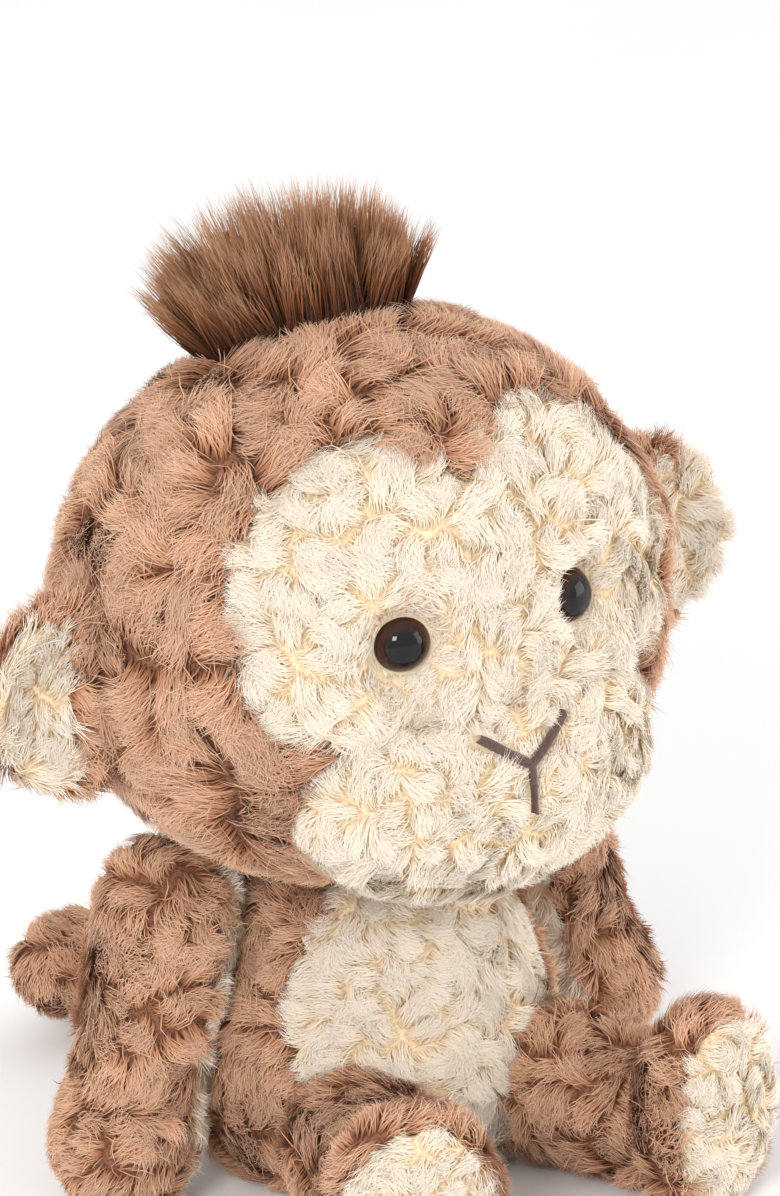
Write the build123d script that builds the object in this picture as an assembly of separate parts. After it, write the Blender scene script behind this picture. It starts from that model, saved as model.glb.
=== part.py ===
from build123d import *
import math
import os

# Seated plush monkey, about 250 mm tall to the tip of its topknot.
# Frame: +Z up, the face looks along -Y, the monkey's left side is +X.
# Origin: centre of the flat seat, on the ground.  Units: millimetres.
# Every stuffed part is a skin (backing cloth with its pile) round a core of fibre.

# ---------------------------------------------------------------- driving sizes
SKIN = 3.0                  # backing cloth and the dense foot of the pile
GAP = 0.4                   # room between two surfaces that move on each other
SWING_GAP = 1.2             # the same round a ball that swings a limb past the body

SEAT_RADIUS = 38.0          # flat disc that the toy sits on
BELLY_RADIUS = 48.5         # widest girth of the body
BELLY_HEIGHT = 25.0         # height of that girth
CHEST_RADIUS = 38.5
TORSO_HEIGHT = 80.0
CHEST_DROP = 15.0           # the chest is this far below the top of the body
SEAT_ROUND = 7.0            # how far the side bulges out just above the seat
SEAT_ROUND_HEIGHT = 8.0
WAIST_RISE = 4.0            # fullness of the side between belly and chest
NECK_SLOPE = 6.5            # the shoulders start this far below the top
SHOULDER_STEP = 4.0         # they stand in this far from the chest there
COLLAR_STEP = 14.5          # and this far at the top

HEAD_HALF_WIDTH = 77.0
HEAD_HALF_DEPTH = 66.0
HEAD_HALF_HEIGHT = 68.0
HEAD_FORWARD = 12.0         # the head overhangs the chest by this much
NECK_GAP = 4.0              # head's lowest point above the top of the body
NECK_RADIUS = 15.0

MUZZLE_HALF_WIDTH = 48.0
MUZZLE_HALF_DEPTH = 24.0
MUZZLE_HALF_HEIGHT = 31.0
MUZZLE_FORWARD = 47.0       # muzzle centre ahead of the head's centre
MUZZLE_DROP = 31.0          # and below it

EYE_DIAMETER = 14.0
EYE_DOME = 4.6              # height of the dome over its flange
EYE_FLANGE = 1.2
EYE_STEM_RADIUS = 2.0
EYE_STEM_LENGTH = 12.0
EYE_OFFSET = 23.6           # each eye from the middle of the face
EYE_RISE = 9.0              # above the head's centre
EYE_TOE_OUT = 18.0          # degrees that each eye looks outward
EYE_SETBACK = 54.0          # bottom of the eye hollow ahead of the head's centre
EYE_HOLLOW = 16.0           # radius of the hollow pulled into the face round an eye
EYE_CLEARANCE = 0.6         # eye above, and washer below, the skin between them
WASHER_RADIUS = 7.5
WASHER_THICKNESS = 1.6

EAR_REACH = 24.0            # ear beyond its root line
EAR_HALF_HEIGHT = 23.0
EAR_THICKNESS = 9.0
EAR_DROP = 5.0              # ear centre below the head's centre
EAR_ROOT_GAP = 0.6

TOPKNOT_HALF_WIDTH = 31.0
TOPKNOT_HALF_DEPTH = 25.0
TOPKNOT_HALF_HEIGHT = 32.0
TOPKNOT_BACK = 20.0         # behind the head's centre
TOPKNOT_RISE = 68.0         # above it

THREAD_RADIUS = 0.95
MOUTH_HALF_WIDTH = 12.0     # spread of the two upper arms of the mouth
MOUTH_TOP = -15.0           # heights from the head's centre
MOUTH_FORK = -24.0
MOUTH_FOOT = -35.7

ARM_RADIUS = 17.0           # at the shoulder
WRIST_RADIUS = 15.0
HAND_RADIUS = 17.5
ARM_LENGTH = 60.0           # shoulder pivot to the centre of the hand
ARM_SLOPE = 16.0            # degrees that the arm hangs out from the vertical
WRIST_SHARE = 0.68          # where the arm is narrowest, along its length
SHOULDER_TUCK = 1.5         # how far the arm is pressed in beside the chest
SHOULDER_BACK = 2.0
SHOULDER_DROP = 3.0         # shoulder pivot below the top of the body
PALM_TURN = -8.0            # degrees that the palm side is turned to the front
PALM_INSET = 5.5            # the palm side starts this far from the middle of the arm

LEG_RADIUS = 18.5
ANKLE_RADIUS = 16.5
LEG_LENGTH = 46.5           # hip pivot to the centre of the foot
LEG_SPLAY = 18.0            # degrees outward
HIP_OUT = 29.0
HIP_FORWARD = 43.0          # just outside the body, so that the leg swings clear of it
HIP_CLEARANCE = 1.5         # underside of the leg above the ground
FOOT_HALF_WIDTH = 21.0
FOOT_HALF_HEIGHT = 26.0
FOOT_HALF_DEPTH = 14.0
SOLE_FROM = 5.0             # the sole starts this far ahead of the foot's centre

TAIL_RADIUS = 12.0
TAIL_STAND_OFF = 2.5        # tail pivot behind the widest girth of the body
TAIL_CLEARANCE = 4.0        # underside of the tail above the ground at its root
TAIL_PATH = ((-2.0, 15.0, 0.0), (-13.0, 37.0, 2.0), (-33.0, 49.0, 4.0))
TAIL_START = (0.0, 1.0, 0.0)      # directions of the tail at its two ends
TAIL_END = (-1.0, 0.1, 0.0)

WAD_RADIUS = 6.0            # tight roll of fibre in the mouth of each limb

POUCH_RADIUS = 29.0
POUCH_HEIGHT = 18.0
POUCH_SKIN = 1.0
POUCH_BACK = 4.0            # the pouch sits this far behind the middle
POUCH_LIFT = 0.5            # above the body's skin
POUCH_ROUND = 5.0

LABEL_WIDTH = 18.0
LABEL_REACH = 13.0
LABEL_THICKNESS = 0.8
LABEL_SEWN_IN = 1.5         # how far the label goes into the skin
LABEL_HEIGHT = 24.0         # middle of the label above the ground
LABEL_BEARING = 35.0        # degrees from straight back towards the left side

SEAM_DROP = 14.0            # hand-closed slit in the back, from this far below the top
SEAM_LENGTH = 28.0
SEAM_STITCHES = 7
SEAM_HALF_WIDTH = 1.6
SEAM_THREAD_RADIUS = 0.6
SEAM_SUNK = 0.2             # centre of the thread below the skin's surface

BELLY_PANEL_HALF_WIDTH = 36.0
BELLY_PANEL_HALF_HEIGHT = 41.0
BELLY_PANEL_MIDDLE = 43.0

# Outline of the cream face above the muzzle, from the peak between the brows round
# one lobe to under the muzzle's edge; distances are from the head's centre.
FACE_OUTLINE = (
    (0.0, 42.0), (12.0, 50.0), (26.0, 52.0), (42.0, 45.0), (54.0, 32.0),
    (59.0, 16.0), (58.0, 0.0), (52.0, -10.0), (42.0, -12.0), (34.0, -18.0),
)
FAR = 200.0                 # longer than any part, for half-spaces and windows

# ---------------------------------------------------------------- derived places
CHEST_HEIGHT = TORSO_HEIGHT - CHEST_DROP
SEAM_TOP = TORSO_HEIGHT - SEAM_DROP
SEAM_FOOT = SEAM_TOP - SEAM_LENGTH
HIP_HEIGHT = LEG_RADIUS + HIP_CLEARANCE
HEAD_Z = TORSO_HEIGHT + NECK_GAP + HEAD_HALF_HEIGHT
HEAD = Vector(0, -HEAD_FORWARD, HEAD_Z)
NECK = Vector(0, 0, TORSO_HEIGHT + NECK_GAP)
SHOULDER = Vector(CHEST_RADIUS + ARM_RADIUS - SHOULDER_TUCK, SHOULDER_BACK, TORSO_HEIGHT - SHOULDER_DROP)
HIP = Vector(HIP_OUT, -HIP_FORWARD, HIP_HEIGHT)
TAIL = Vector(0, BELLY_RADIUS + TAIL_STAND_OFF, TAIL_RADIUS + TAIL_CLEARANCE)
EAR_ROOT_X = HEAD_HALF_WIDTH + EAR_THICKNESS / 2 + EAR_ROOT_GAP

os.makedirs("parts", exist_ok=True)


# ---------------------------------------------------------------- helpers
def save(solid, node):
    export_step(solid, f"parts/{node}.step")


def ellipsoid(a, b, c):
    return scale(Sphere(1), by=(a, b, c))


def half_space(normal, at=(0, 0, 0)):
    """Everything ahead of a plane through a point, as a big box."""
    plane = Plane(origin=at, z_dir=normal)
    box = Box(FAR * 2, FAR * 2, FAR,
              align=(Align.CENTER, Align.CENTER, Align.MIN))
    return plane.location * box


def turned(points):
    """A solid of revolution about Z: a smooth side between two flat ends."""
    wall = Spline(*[(r, 0, z) for r, z in points])
    low, high = points[0], points[-1]
    rest = Polyline((high[0], 0, high[1]), (0, 0, high[1]), (0, 0, low[1]), (low[0], 0, low[1]))
    return revolve(make_face(wall + rest), Axis.Z)


def limb(sections):
    """A round limb along +Z: spheres of these radii at these places, joined by cones."""
    solid = None
    for z, r in sections:
        ball = Pos(0, 0, z) * Sphere(r)
        solid = ball if solid is None else solid + ball
    for (z0, r0), (z1, r1) in zip(sections, sections[1:]):
        lean = (r0 - r1) / (z1 - z0)
        across = math.sqrt(1 - lean * lean)
        low, high = z0 + r0 * lean, z1 + r1 * lean
        cone = Cone(r0 * across, r1 * across, high - low,
                    align=(Align.CENTER, Align.CENTER, Align.MIN))
        solid = solid + Pos(0, 0, low) * cone
    return solid


def shrunk(sections, by):
    return [(z, r - by) for z, r in sections]


def both_sides(solid, name):
    """The left piece as modelled and its mirror image for the right side."""
    save(solid, f"{name}_left")
    save(mirror(solid, about=Plane.YZ), f"{name}_right")


# ---------------------------------------------------------------- torso
def torso_form(inset):
    return turned([
        (SEAT_RADIUS - inset, inset),
        (SEAT_RADIUS + SEAT_ROUND - inset, SEAT_ROUND_HEIGHT),
        (BELLY_RADIUS - inset, BELLY_HEIGHT),
        ((BELLY_RADIUS + CHEST_RADIUS) / 2 - inset, (BELLY_HEIGHT + CHEST_HEIGHT) / 2 + WAIST_RISE),
        (CHEST_RADIUS - inset, CHEST_HEIGHT),
        (CHEST_RADIUS - SHOULDER_STEP - inset, TORSO_HEIGHT - NECK_SLOPE),
        (CHEST_RADIUS - COLLAR_STEP - inset, TORSO_HEIGHT - inset),
    ])


# From a limb's own frame, +Z along it, to the toy.
leg_place = Pos(*HIP) * Rot(0, 0, LEG_SPLAY) * Rot(90, 0, 0)
leg_sections = [(0, LEG_RADIUS), (LEG_LENGTH - FOOT_HALF_DEPTH, ANKLE_RADIUS)]
arm_place = Pos(*SHOULDER) * Rot(0, -ARM_SLOPE, 0) * Rot(180, 0, 0)
arm_sections = [(0, ARM_RADIUS), (ARM_LENGTH * WRIST_SHARE, WRIST_RADIUS), (ARM_LENGTH, HAND_RADIUS)]


def steps(low, high, count):
    """Evenly spaced values from low to high, both included."""
    return [low + (high - low) * i / count for i in range(count + 1)]


torso_rooms = [
    Pos(*NECK) * Sphere(NECK_RADIUS + GAP),
    Pos(*HIP) * Sphere(LEG_RADIUS + SWING_GAP),
    Pos(-HIP.X, HIP.Y, HIP.Z) * Sphere(LEG_RADIUS + SWING_GAP),
    Pos(*TAIL) * Sphere(TAIL_RADIUS + SWING_GAP),
]


def cleared(solid):
    """A piece of the torso with the room for the neck, the legs and the tail taken out."""
    for room in torso_rooms:
        solid = solid - room
    return solid


torso_outer = torso_form(0)
torso_inner = torso_form(SKIN)
torso_skin = cleared(torso_outer - torso_inner)
belly_window = Plane.XZ * Pos(0, BELLY_PANEL_MIDDLE) * Ellipse(
    BELLY_PANEL_HALF_WIDTH, BELLY_PANEL_HALF_HEIGHT)
belly_prism = extrude(belly_window, FAR)
belly_panel = torso_skin & belly_prism
body_skin = torso_skin - belly_prism

label_turn = Rot(0, 0, -LABEL_BEARING)
label = label_turn * Pos(0, BELLY_RADIUS - LABEL_SEWN_IN, LABEL_HEIGHT) * Box(
    LABEL_THICKNESS, LABEL_REACH, LABEL_WIDTH, align=(Align.CENTER, Align.MIN, Align.CENTER))

seam_points = []
for i in range(SEAM_STITCHES + 1):
    z = SEAM_FOOT + (SEAM_TOP - SEAM_FOOT) * i / SEAM_STITCHES
    girth = (Line((0, 0, z), (0, FAR, z)) & torso_outer).length
    side = SEAM_HALF_WIDTH if i % 2 else -SEAM_HALF_WIDTH
    seam_points.append(Vector(side, girth - SEAM_SUNK, z))
closing_seam = Pos(*seam_points[-1]) * Sphere(SEAM_THREAD_RADIUS)
for a, b in zip(seam_points, seam_points[1:]):
    run = Plane(origin=a, z_dir=b - a)
    stitch = run.location * Cylinder(
        SEAM_THREAD_RADIUS, (b - a).length, align=(Align.CENTER, Align.CENTER, Align.MIN))
    closing_seam = closing_seam + stitch + Pos(*a) * Sphere(SEAM_THREAD_RADIUS)

body_skin = body_skin - label - closing_seam

pouch_outer = Pos(0, POUCH_BACK, SKIN + POUCH_LIFT) * Cylinder(
    POUCH_RADIUS, POUCH_HEIGHT, align=(Align.CENTER, Align.CENTER, Align.MIN))
pouch_outer = fillet(pouch_outer.edges().filter_by(GeomType.CIRCLE), POUCH_ROUND)
pouch_inner = offset(pouch_outer, -POUCH_SKIN)
pouch = cleared(pouch_outer - pouch_inner)
pellets = cleared(pouch_inner)
torso_fill = cleared(torso_inner) - pouch_outer - label - closing_seam

# ---------------------------------------------------------------- head
def eye_frame(side, forward):
    """Frame at a point on the eye's axis, +Z looking out of the face."""
    out = math.radians(EYE_TOE_OUT)
    gaze = Vector(side * math.sin(out), -math.cos(out), 0)
    base = Vector(side * EYE_OFFSET, -EYE_SETBACK, EYE_RISE)
    return Plane(origin=base + gaze * forward, z_dir=gaze).location


def head_form(inset):
    solid = ellipsoid(HEAD_HALF_WIDTH - inset, HEAD_HALF_DEPTH - inset, HEAD_HALF_HEIGHT - inset)
    for side in (-1, 1):
        solid = solid - eye_frame(side, EYE_HOLLOW) * Sphere(EYE_HOLLOW + inset)
    return solid


def muzzle_form(inset):
    return Pos(0, -MUZZLE_FORWARD, -MUZZLE_DROP) * ellipsoid(
        MUZZLE_HALF_WIDTH - inset, MUZZLE_HALF_DEPTH - inset, MUZZLE_HALF_HEIGHT - inset)


def muzzle_front(x, z):
    """How far ahead of the head's centre the muzzle's surface is at (x, z)."""
    share = (x / MUZZLE_HALF_WIDTH) ** 2 + ((z + MUZZLE_DROP) / MUZZLE_HALF_HEIGHT) ** 2
    return MUZZLE_FORWARD + MUZZLE_HALF_DEPTH * math.sqrt(1 - share)


def eye_solid(side):
    dome_radius = ((EYE_DIAMETER / 2) ** 2 + EYE_DOME ** 2) / (2 * EYE_DOME)
    flange = Cylinder(EYE_DIAMETER / 2, EYE_FLANGE,
                      align=(Align.CENTER, Align.CENTER, Align.MIN))
    dome = Pos(0, 0, EYE_FLANGE + EYE_DOME - dome_radius) * Sphere(dome_radius)
    dome = dome & half_space((0, 0, 1), (0, 0, EYE_FLANGE))
    stem = Cylinder(EYE_STEM_RADIUS, EYE_STEM_LENGTH,
                    align=(Align.CENTER, Align.CENTER, Align.MAX))
    return eye_frame(side, EYE_CLEARANCE) * (flange + dome + stem)


def washer_solid(side):
    ring = Cylinder(WASHER_RADIUS, WASHER_THICKNESS) - Cylinder(EYE_STEM_RADIUS, WASHER_THICKNESS)
    return eye_frame(side, -SKIN - EYE_CLEARANCE - WASHER_THICKNESS / 2) * ring


head_outer = head_form(0)
head_inner = head_form(SKIN)
muzzle_outer = muzzle_form(0)
muzzle_inner = muzzle_form(SKIN)
neck_room = Pos(*(NECK - HEAD)) * Sphere(NECK_RADIUS + GAP)
plain_inner = ellipsoid(HEAD_HALF_WIDTH - SKIN, HEAD_HALF_DEPTH - SKIN, HEAD_HALF_HEIGHT - SKIN)

face_curve = Spline(*[(x, z) for x, z in FACE_OUTLINE])
face_curve = face_curve + mirror(face_curve, about=Plane.YZ)
last = FACE_OUTLINE[-1]
face_curve = face_curve + Line((last[0], last[1]), (-last[0], last[1]))
face_prism = extrude(Plane.XZ * make_face(face_curve), FAR)

eyes = {side: eye_solid(side) for side in (-1, 1)}
washers = {side: washer_solid(side) for side in (-1, 1)}

mouth = None
fork = Vector(0, -muzzle_front(0, MOUTH_FORK), MOUTH_FORK)
tips = [Vector(x, -muzzle_front(x, MOUTH_TOP), MOUTH_TOP) for x in (-MOUTH_HALF_WIDTH, MOUTH_HALF_WIDTH)]
tips.append(Vector(0, -muzzle_front(0, MOUTH_FOOT), MOUTH_FOOT))
for tip in tips:
    run = Plane(origin=fork, z_dir=tip - fork)
    stroke = run.location * Cylinder(
        THREAD_RADIUS, (tip - fork).length, align=(Align.CENTER, Align.CENTER, Align.MIN))
    stroke = stroke + Pos(*tip) * Sphere(THREAD_RADIUS)
    mouth = stroke if mouth is None else mouth + stroke
mouth = mouth + Pos(*fork) * Sphere(THREAD_RADIUS)

head_skin_all = head_outer - head_inner - muzzle_outer - neck_room
face_panel = head_skin_all & face_prism
head_skin = head_skin_all - face_prism
muzzle_panel = muzzle_outer - muzzle_inner - plain_inner - mouth
muzzle_fill = muzzle_inner - plain_inner - mouth
head_fill = head_inner - neck_room
for side in (-1, 1):
    face_panel = face_panel - eyes[side] - washers[side]
    head_fill = head_fill - eyes[side] - washers[side]

topknot = Pos(0, TOPKNOT_BACK, TOPKNOT_RISE) * ellipsoid(
    TOPKNOT_HALF_WIDTH, TOPKNOT_HALF_DEPTH, TOPKNOT_HALF_HEIGHT)
topknot = topknot - ellipsoid(HEAD_HALF_WIDTH, HEAD_HALF_DEPTH, HEAD_HALF_HEIGHT)

# ---------------------------------------------------------------- ears
ear_outline = Plane.XZ * (
    Ellipse(EAR_REACH, EAR_HALF_HEIGHT) & Pos(EAR_REACH, 0) * Rectangle(EAR_REACH * 2, EAR_HALF_HEIGHT * 2))
ear_plate = extrude(ear_outline, EAR_THICKNESS / 2, both=True)
ear_plate = ear_plate + Cylinder(EAR_THICKNESS / 2, EAR_HALF_HEIGHT * 2)
ear_place = Pos(EAR_ROOT_X, 0, -EAR_DROP)
ear_back = ear_place * (ear_plate & half_space((0, 1, 0)))
ear_lining = ear_place * (ear_plate & half_space((0, -1, 0)))

# ---------------------------------------------------------------- arms
arm_outer = limb(arm_sections)
arm_inner = limb(shrunk(arm_sections, SKIN))
arm_skin_all = arm_outer - arm_inner
turn = math.radians(PALM_TURN)
palm_way = Vector(-math.cos(turn), math.sin(turn), 0)
palm_side = half_space(palm_way, palm_way * PALM_INSET)
arm_lining = arm_place * (arm_skin_all & palm_side)
arm_skin = arm_place * (arm_skin_all - palm_side)
arm_fill = arm_place * (arm_inner - Sphere(WAD_RADIUS + GAP))
shoulder_wad = Pos(*SHOULDER) * Sphere(WAD_RADIUS)

# ---------------------------------------------------------------- legs
def leg_form(inset):
    foot = Pos(0, FOOT_HALF_HEIGHT - HIP_HEIGHT, LEG_LENGTH) * ellipsoid(
        FOOT_HALF_WIDTH - inset, FOOT_HALF_HEIGHT - inset, FOOT_HALF_DEPTH - inset)
    return limb(shrunk(leg_sections, inset)) + foot


leg_outer = leg_form(0)
leg_inner = leg_form(SKIN)
leg_skin_all = leg_outer - leg_inner
sole_side = half_space((0, 0, 1), (0, 0, LEG_LENGTH + SOLE_FROM))
sole = leg_place * (leg_skin_all & sole_side)
leg_skin = leg_place * (leg_skin_all - sole_side)
leg_fill = leg_place * (leg_inner - Sphere(WAD_RADIUS + GAP))
hip_wad = Pos(*HIP) * Sphere(WAD_RADIUS)

# ---------------------------------------------------------------- tail
def tail_form(radius):
    points = [Vector(0, 0, 0)] + [Vector(*p) for p in TAIL_PATH]
    path = Spline(*points, tangents=[TAIL_START, TAIL_END])
    tube = sweep(Plane(origin=path @ 0, z_dir=path % 0) * Circle(radius), path=path)
    return tube + Sphere(radius) + Pos(*points[-1]) * Sphere(radius)


tail_outer = tail_form(TAIL_RADIUS)
tail_inner = tail_form(TAIL_RADIUS - SKIN)
tail_place = Pos(*TAIL)
tail_skin = tail_place * (tail_outer - tail_inner)
tail_fill = tail_place * (tail_inner - Sphere(WAD_RADIUS + GAP))
tail_wad = Pos(*TAIL) * Sphere(WAD_RADIUS)

# ---------------------------------------------------------------- hand in
save(body_skin, "body_skin")
save(belly_panel, "belly_panel")
save(torso_fill, "torso_fill")
save(pouch, "bead_pouch")
save(pellets, "bead_fill")
save(label, "care_label")
save(closing_seam, "closing_seam")
save(Pos(*NECK) * Sphere(NECK_RADIUS), "neck_wad")

at_head = Pos(*HEAD)
save(at_head * head_skin, "head_skin")
save(at_head * face_panel, "face_panel")
save(at_head * muzzle_panel, "muzzle_panel")
save(at_head * muzzle_fill, "muzzle_fill")
save(at_head * head_fill, "head_fill")
save(at_head * mouth, "mouth_thread")
save(at_head * topknot, "topknot")
for side, name in ((1, "left"), (-1, "right")):
    save(at_head * eyes[side], f"eye_{name}")
    save(at_head * washers[side], f"eye_washer_{name}")
both_sides(at_head * ear_back, "ear_back")
both_sides(at_head * ear_lining, "ear_lining")

both_sides(arm_skin, "arm_skin")
both_sides(arm_lining, "arm_lining")
both_sides(arm_fill, "arm_fill")
both_sides(shoulder_wad, "shoulder_wad")
both_sides(leg_skin, "leg_skin")
both_sides(sole, "sole")
both_sides(leg_fill, "leg_fill")
both_sides(hip_wad, "hip_wad")
save(tail_skin, "tail_skin")
save(tail_fill, "tail_fill")
save(tail_wad, "tail_wad")
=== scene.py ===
"""Looks of the seated plush monkey: pile, eyes, stitching, studio light and camera.

Every stuffed part is a skin grown from its CAD solid, and its pile is real geometry:
tapering blades gathered into locks, each blade coloured from its root to its tip.
Lengths are in metres; a value whose name ends in _mm is in millimetres.
"""
import math

import bpy
import numpy as np
from mathutils import Matrix, Vector
from mathutils.bvhtree import BVHTree
from mathutils.kdtree import KDTree


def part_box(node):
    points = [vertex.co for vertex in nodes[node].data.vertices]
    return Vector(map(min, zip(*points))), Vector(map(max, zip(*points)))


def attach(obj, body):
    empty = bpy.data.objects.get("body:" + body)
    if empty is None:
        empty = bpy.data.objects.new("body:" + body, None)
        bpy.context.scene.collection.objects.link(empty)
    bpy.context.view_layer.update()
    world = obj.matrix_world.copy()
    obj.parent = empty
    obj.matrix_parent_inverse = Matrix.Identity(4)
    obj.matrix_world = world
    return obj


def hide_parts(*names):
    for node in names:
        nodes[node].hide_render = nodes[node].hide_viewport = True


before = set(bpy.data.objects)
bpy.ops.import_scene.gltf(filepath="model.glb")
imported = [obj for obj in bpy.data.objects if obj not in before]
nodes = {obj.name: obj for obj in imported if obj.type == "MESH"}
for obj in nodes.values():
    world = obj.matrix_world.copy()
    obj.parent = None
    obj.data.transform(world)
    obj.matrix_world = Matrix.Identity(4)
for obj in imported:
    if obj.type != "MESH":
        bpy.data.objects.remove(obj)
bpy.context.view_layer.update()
rng = np.random.default_rng(11)
MM = 0.001


def middle(node):
    low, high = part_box(node)
    return (np.array(low) + np.array(high)) / 2


def half(node):
    low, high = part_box(node)
    return (np.array(high) - np.array(low)) / 2


# ------------------------------------------------------------------ places
SKIN = 3.0 * MM
fill_low, fill_high = (np.array(v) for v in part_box("head_fill"))
head_low, head_high = (np.array(v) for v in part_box("head_skin"))
HEAD_HALF_HEIGHT = 68.0 * MM
HEAD_HALF = np.array([
    (head_high[0] - head_low[0]) / 2, (fill_high[1] - fill_low[1]) / 2 + SKIN, HEAD_HALF_HEIGHT])
HEAD = np.array([0.0, (fill_low[1] + fill_high[1]) / 2, head_high[2] - HEAD_HALF_HEIGHT])
SHOULDER = {s: middle(f"shoulder_wad_{s}") for s in ("left", "right")}
HIP = {s: middle(f"hip_wad_{s}") for s in ("left", "right")}
TAIL = middle("tail_wad")
SIDES = (("left", 1.0), ("right", -1.0))

# ------------------------------------------------------------------ camera
AZIMUTH, ELEVATION, ROLL = math.radians(-32.0), math.radians(21.0), math.radians(3.5)
DISTANCE = 1.25
SENSOR_MM = 36.0
FRAME_HEIGHT = 295.412 * MM              # what the frame's long side spans at the head
OFF_RIGHT, OFF_UP = 6.9 * MM, -1.5 * MM  # middle of the frame from the head's centre

back = Vector((math.sin(AZIMUTH) * math.cos(ELEVATION), -math.cos(AZIMUTH) * math.cos(ELEVATION),
               math.sin(ELEVATION)))
level = Vector((math.cos(AZIMUTH), math.sin(AZIMUTH), 0.0))
upright = back.cross(level)
right = level * math.cos(ROLL) - upright * math.sin(ROLL)
up = level * math.sin(ROLL) + upright * math.cos(ROLL)
camera_data = bpy.data.cameras.new("camera")
camera_data.sensor_width = SENSOR_MM
camera_data.lens = SENSOR_MM * DISTANCE / FRAME_HEIGHT
camera = bpy.data.objects.new("camera", camera_data)
place = Vector(HEAD) + right * OFF_RIGHT + up * OFF_UP + back * DISTANCE
turn = Matrix((right, up, back)).transposed().to_4x4()
camera.matrix_world = Matrix.Translation(place) @ turn
bpy.context.scene.collection.objects.link(camera)
bpy.context.scene.camera = camera
bpy.context.scene.view_settings.view_transform = "Standard"


# ------------------------------------------------------------------ materials
BUMP_DEPTH = 0.3 * MM


def srgb(*rgb):
    """Linear colour from sRGB numbers of 0 to 255."""
    values = [c / 255 for c in rgb]
    return tuple(c / 12.92 if c <= 0.04045 else ((c + 0.055) / 1.055) ** 2.4 for c in values) + (1.0,)


def new_material(name, roughness, sheen=0.0, specular=0.5):
    material = bpy.data.materials.new(name)
    material.use_nodes = True
    shader = material.node_tree.nodes["Principled BSDF"]
    shader.inputs["Roughness"].default_value = roughness
    shader.inputs["Sheen Weight"].default_value = sheen
    shader.inputs["Specular IOR Level"].default_value = specular
    return material, material.node_tree, shader


def ramp_node(tree, stops):
    ramp = tree.nodes.new("ShaderNodeValToRGB")
    elements = ramp.color_ramp.elements
    while len(elements) < len(stops):
        elements.new(0.5)
    for element, (at, colour) in zip(elements, stops):
        element.position = at
        element.color = colour
    return ramp


def pile_material(name, stops, dark=0.78, light=1.12):
    """Pile: v runs from root to tip, u is the blade's own random tone. The colour darkens towards the root:
    partly the pile's own darker roots, partly painted shade of the gaps deep between the locks.
    """
    material, tree, shader = new_material(name, 0.72, sheen=0.08, specular=0.25)
    uv = tree.nodes.new("ShaderNodeUVMap")
    uv.uv_map = "OFBake"
    split = tree.nodes.new("ShaderNodeSeparateXYZ")
    ramp = ramp_node(tree, stops)
    shade = tree.nodes.new("ShaderNodeMapRange")
    shade.inputs["To Min"].default_value = dark
    shade.inputs["To Max"].default_value = light
    tint = tree.nodes.new("ShaderNodeVectorMath")
    tint.operation = "SCALE"
    tree.links.new(uv.outputs["UV"], split.inputs[0])
    tree.links.new(split.outputs["Y"], ramp.inputs["Fac"])
    tree.links.new(split.outputs["X"], shade.inputs["Value"])
    tree.links.new(ramp.outputs["Color"], tint.inputs[0])
    tree.links.new(shade.outputs["Result"], tint.inputs["Scale"])
    tree.links.new(tint.outputs["Vector"], shader.inputs["Base Color"])
    return material


def mottled_material(name, first, second, scale, roughness, bump=0.0, **finish):
    """Cloth, fibre or plastic with a soft mottle of two sRGB colours and, if asked, a fine bump."""
    material, tree, shader = new_material(name, roughness, **finish)
    place = tree.nodes.new("ShaderNodeTexCoord")
    noise = tree.nodes.new("ShaderNodeTexNoise")
    noise.inputs["Scale"].default_value = scale
    noise.inputs["Detail"].default_value = 5.0
    ramp = ramp_node(tree, ((0.3, srgb(*first)), (0.7, srgb(*second))))
    tree.links.new(place.outputs["Object"], noise.inputs["Vector"])
    tree.links.new(noise.outputs["Fac"], ramp.inputs["Fac"])
    tree.links.new(ramp.outputs["Color"], shader.inputs["Base Color"])
    if bump:
        height = tree.nodes.new("ShaderNodeBump")
        height.inputs["Strength"].default_value = bump
        height.inputs["Distance"].default_value = BUMP_DEPTH
        tree.links.new(noise.outputs["Fac"], height.inputs["Height"])
        tree.links.new(height.outputs["Normal"], shader.inputs["Normal"])
    return material


# Each ramp runs from root to tip; its dark root stops are partly the pile's own darker roots and partly
# painted shade of the gaps deep in the pile.
BROWN = pile_material("brown_pile", (
    (0.0, srgb(98, 56, 34)),
    (0.3, srgb(168, 114, 82)),
    (0.65, srgb(212, 164, 130)),
    (1.0, srgb(237, 200, 172))), dark=0.82)
CREAM = pile_material("cream_pile", (
    (0.0, srgb(228, 200, 160)),
    (0.3, srgb(240, 222, 194)),
    (0.65, srgb(245, 233, 215)),
    (1.0, srgb(249, 241, 230))), dark=0.94, light=1.02)
DARK = pile_material("dark_pile", (
    (0.0, srgb(58, 28, 12)),
    (0.35, srgb(102, 58, 32)),
    (0.7, srgb(154, 102, 66)),
    (1.0, srgb(214, 170, 134))))
BROWN_CLOTH = mottled_material("brown_backing", (126, 82, 58), (146, 100, 74), scale=400.0, roughness=0.95)
CREAM_CLOTH = mottled_material("cream_backing", (232, 208, 168), (242, 222, 188), scale=400.0, roughness=0.95)
FIBRE = mottled_material(
    "fibre_fill", (232, 232, 230), (250, 250, 248), scale=120.0, roughness=0.95, bump=0.6)
POUCH_CLOTH = mottled_material(
    "pouch_cloth", (206, 204, 198), (224, 222, 216), scale=900.0, roughness=0.9, bump=0.3)
BEADS = mottled_material(
    "plastic_beads", (212, 218, 222), (240, 243, 245), scale=260.0, roughness=0.4, bump=0.8)
TAPE = mottled_material(
    "label_tape", (236, 236, 232), (248, 248, 245), scale=1500.0, roughness=0.55, bump=0.2)
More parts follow.
